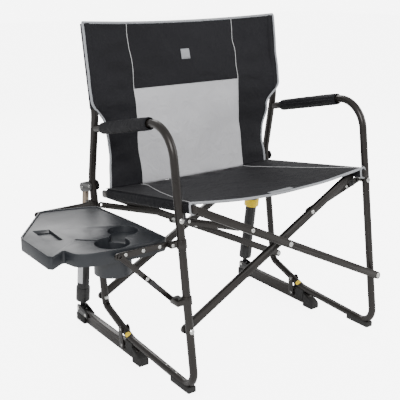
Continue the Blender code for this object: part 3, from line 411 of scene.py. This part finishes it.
# ------------------------------------------------------------------ arm pads
# Each arm has a strip of padded cloth wrapped round the tube and closed underneath with
# a hook-and-loop flap, whose free edge stands off a little. The cloth is heavy black
# polyester in a plain weave, a shade lighter where it is pulled tight or rubbed.
def weave_group():
    """Plain weave: thread height as a normal, and a slow mask for wear."""
    tree, ins, outs = group("plain_weave",
                            (("Threads", "NodeSocketFloat", 900.0), ("Bump", "NodeSocketFloat", 0.4)),
                            (("Wear", "NodeSocketFloat"), ("Thread", "NodeSocketFloat"),
                             ("Normal", "NodeSocketVector")))
    n, link = nodes_of(tree)
    coord = n.new("ShaderNodeTexCoord")
    waves = []
    for axis in ("X", "Z"):
        wave = n.new("ShaderNodeTexWave")
        wave.bands_direction = axis
        wave.inputs["Distortion"].default_value = 0.6
        wave.inputs["Detail"].default_value = 1.0
        link.new(coord.outputs["Object"], wave.inputs["Vector"])
        link.new(ins.outputs["Threads"], wave.inputs["Scale"])
        waves.append(wave)
    both = n.new("ShaderNodeMath")
    both.operation = "MULTIPLY"
    link.new(waves[0].outputs["Fac"], both.inputs[0])
    link.new(waves[1].outputs["Fac"], both.inputs[1])
    cloud, folds = n.new("ShaderNodeTexNoise"), n.new("ShaderNodeTexNoise")
    cloud.inputs["Scale"].default_value = 7.0
    cloud.inputs["Detail"].default_value = 6.0
    folds.inputs["Scale"].default_value = 22.0
    folds.inputs["Detail"].default_value = 3.0
    folds.inputs["Distortion"].default_value = 1.2
    link.new(coord.outputs["Object"], cloud.inputs["Vector"])
    link.new(coord.outputs["Object"], folds.inputs["Vector"])
    fine, crease = n.new("ShaderNodeBump"), n.new("ShaderNodeBump")
    crease.inputs["Distance"].default_value = 0.008
    crease.inputs["Strength"].default_value = 0.55
    fine.inputs["Distance"].default_value = 0.0004
    link.new(folds.outputs["Fac"], crease.inputs["Height"])
    link.new(both.outputs["Value"], fine.inputs["Height"])
    link.new(ins.outputs["Bump"], fine.inputs["Strength"])
    link.new(crease.outputs["Normal"], fine.inputs["Normal"])
    link.new(cloud.outputs["Fac"], outs.inputs["Wear"])
    link.new(both.outputs["Value"], outs.inputs["Thread"])
    link.new(fine.outputs["Normal"], outs.inputs["Normal"])
    return tree


WEAVE = weave_group()


def cloth_material(name, dark, light, threads, bump, rough=0.68):
    mat = bpy.data.materials.new(name)
    mat.use_nodes = True
    n, link = nodes_of(mat.node_tree)
    bsdf = n["Principled BSDF"]
    weave = n.new("ShaderNodeGroup")
    weave.node_tree = WEAVE
    weave.inputs["Threads"].default_value = threads
    weave.inputs["Bump"].default_value = bump
    shade = n.new("ShaderNodeMath")
    shade.operation = "MULTIPLY_ADD"
    shade.inputs[1].default_value = 0.45
    mix = n.new("ShaderNodeMix")
    mix.data_type = "RGBA"
    mix.inputs["A"].default_value = (*dark, 1)
    mix.inputs["B"].default_value = (*light, 1)
    link.new(weave.outputs["Thread"], shade.inputs[0])
    link.new(weave.outputs["Wear"], shade.inputs[2])
    link.new(shade.outputs["Value"], mix.inputs["Factor"])
    link.new(mix.outputs["Result"], bsdf.inputs["Base Color"])
    link.new(weave.outputs["Normal"], bsdf.inputs["Normal"])
    bsdf.inputs["Roughness"].default_value = rough
    bsdf.inputs["Specular IOR Level"].default_value = 0.20
    bsdf.inputs["Sheen Weight"].default_value = 0.02
    bsdf.inputs["Sheen Roughness"].default_value = 0.5
    return mat


POLY = cloth_material("black_polyester", (0.0045, 0.0045, 0.006), (0.013, 0.013, 0.016), 420.0, 0.35)
# the arm's line meets the post's at ARM_TURN; distances run along it from the arm's front corner
ARM_TURN = Vector((0, -0.0450, 0.6540))
WRAP_FROM, WRAP_LENGTH, WRAP_R = 0.099, 0.252, 0.0126
RINGS, AROUND, FLAP = 32, 52, 46            # steps along and round the wrap; where the flap starts
for tag, s, side in SIDES:
    mesh = bpy.data.meshes.new("arm_wrap_" + tag)
    bm = bmesh.new()
    rows = []
    along = (ARM_TURN - ARM_FRONT).normalized()
    across = Vector((0, -along.z, along.y))
    for i in range(RINGS + 1):
        t = WRAP_FROM + WRAP_LENGTH * i / RINGS
        centre = ARM_FRONT + along * t + Vector((s * HALF, 0, 0))
        row = []
        for k in range(AROUND + 1):
            a = math.radians(-118 + 7.6 * k)
            lump = 0.0009 * noise.noise(Vector((a * 1.3, t * 45, s * 3)))
            puff = 0.0010 * math.sin(math.pi * i / RINGS) ** 0.3
            r = WRAP_R + puff + lump + 0.0022 * k / AROUND
            if k > FLAP:
                r += 0.0008 * (k - FLAP)
            spot = centre + Vector((s * r * math.sin(a), 0, 0)) + across * (r * math.cos(a))
            row.append(bm.verts.new(spot))
        rows.append(row)
    for one, two in zip(rows, rows[1:]):
        for k in range(len(one) - 1):
            bm.faces.new((one[k], one[k + 1], two[k + 1], two[k]))
    bmesh.ops.recalc_face_normals(bm, faces=bm.faces)
    for v in bm.verts:
        v.co = leaning(*v.co)
    bm.to_mesh(mesh)
    bm.free()
    mesh.shade_smooth()
    ob = bpy.data.objects.new("arm_wrap_" + tag, mesh)
    thick = ob.modifiers.new("padding", "SOLIDIFY")
    thick.thickness = 0.0030
    thick.offset = 1.0
    show(ob, POLY, "frame_" + side, ("arm_pad_" + tag,))

# ------------------------------------------------------------------ back
# A black polyester panel sewn into sleeves on the two posts, with a pale net window low
# down; it leaves the posts below the arms and runs forward to meet the seat. Its edges
# are bound with grey tape and its seams are sewn with pale thread.
NET = cloth_material("grey_net", (0.42, 0.42, 0.44), (0.66, 0.66, 0.68), 300.0, 0.6, 0.75)
TAPE = cloth_material("grey_binding", (0.26, 0.27, 0.29), (0.42, 0.43, 0.45), 500.0, 0.5)
THREAD = cloth_material("pale_thread", (0.55, 0.55, 0.56), (0.75, 0.75, 0.76), 900.0, 0.2)


def lerp_table(rows, z):
    """Values between the listed heights."""
    for a, b in zip(rows, rows[1:]):
        if z <= b[0]:
            t = max(0.0, (z - a[0]) / (b[0] - a[0]))
            t = t * t * (3 - 2 * t)
            return [p + (q - p) * t for p, q in zip(a[1:], b[1:])]
    return rows[-1][1:]


BACK_LOW, WINDOW_TOP, BACK_TOP = 0.4715, 0.7557, 0.9525
SEAM, SEAM_U = 0.1925, 0.56                 # the long seams: distance from the middle, share of u
# height, half width, y of the edge, y at the middle
BACK = ((BACK_LOW, 0.298, -0.032, -0.046), (0.563, 0.288, -0.034, -0.040), (0.663, 0.302, -0.052, -0.042),
        (0.735, 0.3480, -0.0685, -0.044), (BACK_TOP, 0.3475, -0.0650, -0.030))


def back_point(u, z, lift=0.0):
    """A point of the back's front face, u from -1 to 1 across, the seams at SEAM_U."""
    half, edge_y, mid_y = lerp_table(BACK, z)
    beyond = max(0.0, abs(u) - SEAM_U) / (1 - SEAM_U)
    x = math.copysign(min(abs(u), SEAM_U) / SEAM_U * SEAM + beyond * (half - SEAM), u)
    y = mid_y + (edge_y - mid_y) * (abs(x) / half) ** 2.4
    pull = math.exp(-((abs(x) - 0.19) / 0.03) ** 2) + 0.7 * math.exp(-((1 - abs(u)) / 0.06) ** 2)
    y += 0.0036 * noise.noise(Vector((x * 11 + z * 5, z * 17, 1.7))) * (1 + pull)
    crease = math.sin(z * 95 + 3 * noise.noise(Vector((x * 7, z * 5, 4))))
    y += 0.0022 * crease * math.exp(-((abs(x) - 0.24) / 0.045) ** 2)
    top_dip = 0.006 * (1 - u * u) * max(0.0, (z - 0.85) / 0.10)
    return leaning(x, y - lift, z - top_dip)


def cloth_grid(name, point, us, vs):
    """A sheet of cloth through point(u, v), with its own thickness."""
    mesh = bpy.data.meshes.new(name)
    bm = bmesh.new()
    grid = [[bm.verts.new(point(u, v)) for u in us] for v in vs]
    for j in range(len(vs) - 1):
        for i in range(len(us) - 1):
            bm.faces.new((grid[j][i], grid[j][i + 1], grid[j + 1][i + 1], grid[j + 1][i]))
    bm.to_mesh(mesh)
    bm.free()
    mesh.shade_smooth()
    ob = bpy.data.objects.new(name, mesh)
    thick = ob.modifiers.new("cloth", "SOLIDIFY")
    thick.thickness = 0.0012
    thick.offset = 0.0
    return ob


def spread(a, b, n):
    """n equal steps from a to b, both ends kept."""
    return [a + (b - a) * k / n for k in range(n + 1)]


def gather_back(ob):
    """Give the piece its own copy of its mesh."""
    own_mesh(ob)


COLUMNS = spread(-1, -SEAM_U, 20) + spread(-SEAM_U, SEAM_U, 56)[1:] + spread(SEAM_U, 1, 20)[1:]
ROWS = spread(BACK_LOW, WINDOW_TOP, 50) + spread(WINDOW_TOP, BACK_TOP, 34)[1:]
back = cloth_grid("back_panel", back_point, COLUMNS, ROWS)
show(back, POLY, "frame_right", ("back_sling",))
back.data.materials.append(NET)
for face in back.data.polygons:
    at = face.center
    height = at.z * math.cos(LEAN) + (at.y - MIDDLE[1]) * math.sin(LEAN)
    if abs(at.x - MIDDLE[0]) < SEAM and height < WINDOW_TOP:
        face.material_index = 1
gather_back(back)


def back_seam(name, points, radius, mat):
    """A seam or bound edge of the back, on the same body as the back."""
    ob = pipe(name, points, radius, mat, "frame_right", sides=12)
    gather_back(ob)


for s in (-1, 1):
    seam = [back_point(s * SEAM_U, z, 0.0012) for z in spread(0.476, 0.9515, 70)]
    back_seam("back_seam_%d" % s, seam, 0.0008, THREAD)
    edge = [back_point(s, z, 0.0005) for z in spread(0.474, BACK_TOP, 70)]
    back_seam("back_edge_%d" % s, edge, 0.0036, TAPE)
back_seam("back_top_edge", [back_point(u, 0.9535, 0.0) for u in spread(-1, 1, 60)], 0.0040, TAPE)
back_seam("window_seam", [back_point(u, WINDOW_TOP, 0.0012) for u in spread(-SEAM_U, SEAM_U, 40)],
          0.0006, THREAD)
for tag, s, side in SIDES:
    line = [leaning(s * HALF, y, z) for y, z in
            ((-0.0558, 0.712), (-0.0555, 0.75), (-0.0545, 0.80), (-0.0535, 0.86), (-0.0520, 0.951))]
    pipe("back_sleeve_" + tag, line, 0.0132, POLY, "frame_" + side)
badge = cloth_grid("plain_badge", lambda u, z: back_point(u, z, 0.0016), spread(-0.026, 0.066, 8),
                   spread(0.832, 0.864, 4))
show(badge, TAPE, "frame_right")
gather_back(badge)

# ------------------------------------------------------------------ seat
# The same cloth stretched between the seat rails, sewn round each rail as a sleeve; it
# sags a little at the front edge, which is bound with grey tape.
RAIL_X = 0.305
SEAT_FRONT_Y, SEAT_DEPTH, SEAT_Z = -0.4680, 0.4400, 0.4715


def seat_point(u, v, lift=0.0):
    """A point of the seat's top face: u across, v from the front edge to the crease."""
    x = u * (RAIL_X + 0.0070)
    sag = (0.024 * (1 - v) + 0.006 * v) * (1 - u * u) ** 1.1
    y = SEAT_FRONT_Y + v * SEAT_DEPTH + 0.010 * (1 - u * u) * (1 - v)
    z = SEAT_Z + 0.003 * v - sag
    z += 0.0020 * noise.noise(Vector((x * 9, y * 14, 8.3))) * (1 - u ** 6)
    z += 0.0016 * math.sin(x * 70 + 40 * y) * math.exp(-((1 - v) / 0.16) ** 2) * (1 - u ** 6)
    return leaning(x, y, z + lift)


def follow_bars(ob):
    """Bake the piece's placement into its mesh."""
    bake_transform(ob)


seat = cloth_grid("seat_panel", seat_point, spread(-1, 1, 84), spread(0, 1, 60))
show(seat, POLY, None, ("seat_sling",))
follow_bars(seat)


def seat_line(name, points, radius, mat):
    """A seam or bound edge of the seat, with its placement baked in like the seat's."""
    ob = pipe(name, points, radius, mat, None, sides=12)
    follow_bars(ob)


seat_line("seat_front_edge", [seat_point(u, 0.0) for u in spread(-1, 1, 80)], 0.0038, TAPE)
for s in (-1, 1):
    path = [(0.63, 0.99), (0.645, 0.86), (0.78, 0.55), (0.93, 0.16), (0.965, 0.02)]
    stitches = []
    for (u0, v0), (u1, v1) in zip(path, path[1:]):
        stitches += [(u0 + (u1 - u0) * k / 12, v0 + (v1 - v0) * k / 12) for k in range(12)]
    seat_line("seat_seam_%d" % s, [seat_point(s * u, v, 0.0012) for u, v in stitches], 0.0007, THREAD)
tab = cloth_grid("plain_seat_tab", lambda u, v: seat_point(u, v, 0.0020), spread(-0.10, 0.16, 12),
                 spread(0.020, 0.060, 5))
show(tab, TAPE, None)
follow_bars(tab)
for tag, s, body in (("r", -1.0, "scissor_a"), ("l", 1.0, "scissor_b")):
    ring = []
    for k in range(33):
        a = math.tau * k / 32
        flat = 0.0070 * math.copysign(1, math.sin(a))
        ring.append((s * RAIL_X + 0.0085 * math.cos(a), 0.4575 + flat + 0.0078 * math.sin(a)))
    mesh = bpy.data.meshes.new("seat_sleeve_" + tag)
    bm = bmesh.new()
    rows = [[bm.verts.new(leaning(x, y, z)) for x, z in ring] for y in spread(-0.4690, -0.0300, 30)]
    for one, two in zip(rows, rows[1:]):
        for k in range(32):
            bm.faces.new((one[k], one[k + 1], two[k + 1], two[k]))
    bm.to_mesh(mesh)
    bm.free()
    mesh.shade_smooth()
    ob = bpy.data.objects.new("seat_sleeve_" + tag, mesh)
    thick = ob.modifiers.new("cloth", "SOLIDIFY")
    thick.thickness = 0.0012
    thick.offset = 1.0
    show(ob, POLY, body)
    pipe("seat_sleeve_edge_" + tag, [leaning(x, -0.4700, z) for x, z in ring], 0.0028, TAPE, body,
         sides=12)

# ------------------------------------------------------------------ floor, light and camera
floor_mesh = bpy.data.meshes.new("floor")
bm = bmesh.new()
bmesh.ops.create_grid(bm, x_segments=1, y_segments=1, size=14.0)
bm.to_mesh(floor_mesh)
bm.free()
floor = bpy.data.objects.new("floor", floor_mesh)
bpy.context.scene.collection.objects.link(floor)
pale = bpy.data.materials.new("pale_floor")
pale.use_nodes = True
n, link = nodes_of(pale.node_tree)
bsdf = n["Principled BSDF"]
bsdf.inputs["Base Color"].default_value = (0.92, 0.92, 0.92, 1)
bsdf.inputs["Roughness"].default_value = 0.9
bsdf.inputs["Emission Color"].default_value = (1, 1, 1, 1)
near, lift = n.new("ShaderNodeLightPath"), n.new("ShaderNodeMapRange")
lift.inputs["To Min"].default_value = 0.1
lift.inputs["To Max"].default_value = 6.0
link.new(near.outputs["Is Camera Ray"], lift.inputs["Value"])
link.new(lift.outputs["Result"], bsdf.inputs["Emission Strength"])
floor_mesh.materials.append(pale)

world = bpy.data.worlds.new("studio")
world.use_nodes = True
n, link = nodes_of(world.node_tree)
sky = n["Background"]
sky.inputs["Color"].default_value = (1, 1, 1, 1)
seen, glow = n.new("ShaderNodeLightPath"), n.new("ShaderNodeMapRange")
glow.inputs["To Min"].default_value = 0.75
glow.inputs["To Max"].default_value = 7.0
link.new(seen.outputs["Is Camera Ray"], glow.inputs["Value"])
link.new(glow.outputs["Result"], sky.inputs["Strength"])
bpy.context.scene.world = world
for name, at, size, power in (("key", (-2.2, -2.4, 2.9), 1.6, 110), ("fill", (2.6, -1.8, 2.0), 2.2, 45),
                              ("rim", (0.8, 2.8, 2.4), 2.0, 60)):
    lamp = bpy.data.lights.new(name, "AREA")
    lamp.shape = "SQUARE"
    lamp.size = size
    lamp.energy = power
    ob = bpy.data.objects.new(name, lamp)
    ob.location = at
    ob.rotation_euler = (Vector((0.1, 0.1, 0.45)) - Vector(at)).to_track_quat("-Z", "Y").to_euler()
    bpy.context.scene.collection.objects.link(ob)

camera = bpy.data.cameras.new("camera")
camera.lens = 69.2
camera.sensor_width = 36.0
cam = bpy.data.objects.new("camera", camera)
cam.location = level(-1.3536, -1.8998, 1.0965)
cam.rotation_euler = (level(0, 0, 0.3939) - cam.location).to_track_quat("-Z", "Y").to_euler()
bpy.context.scene.collection.objects.link(cam)
bpy.context.scene.camera = cam
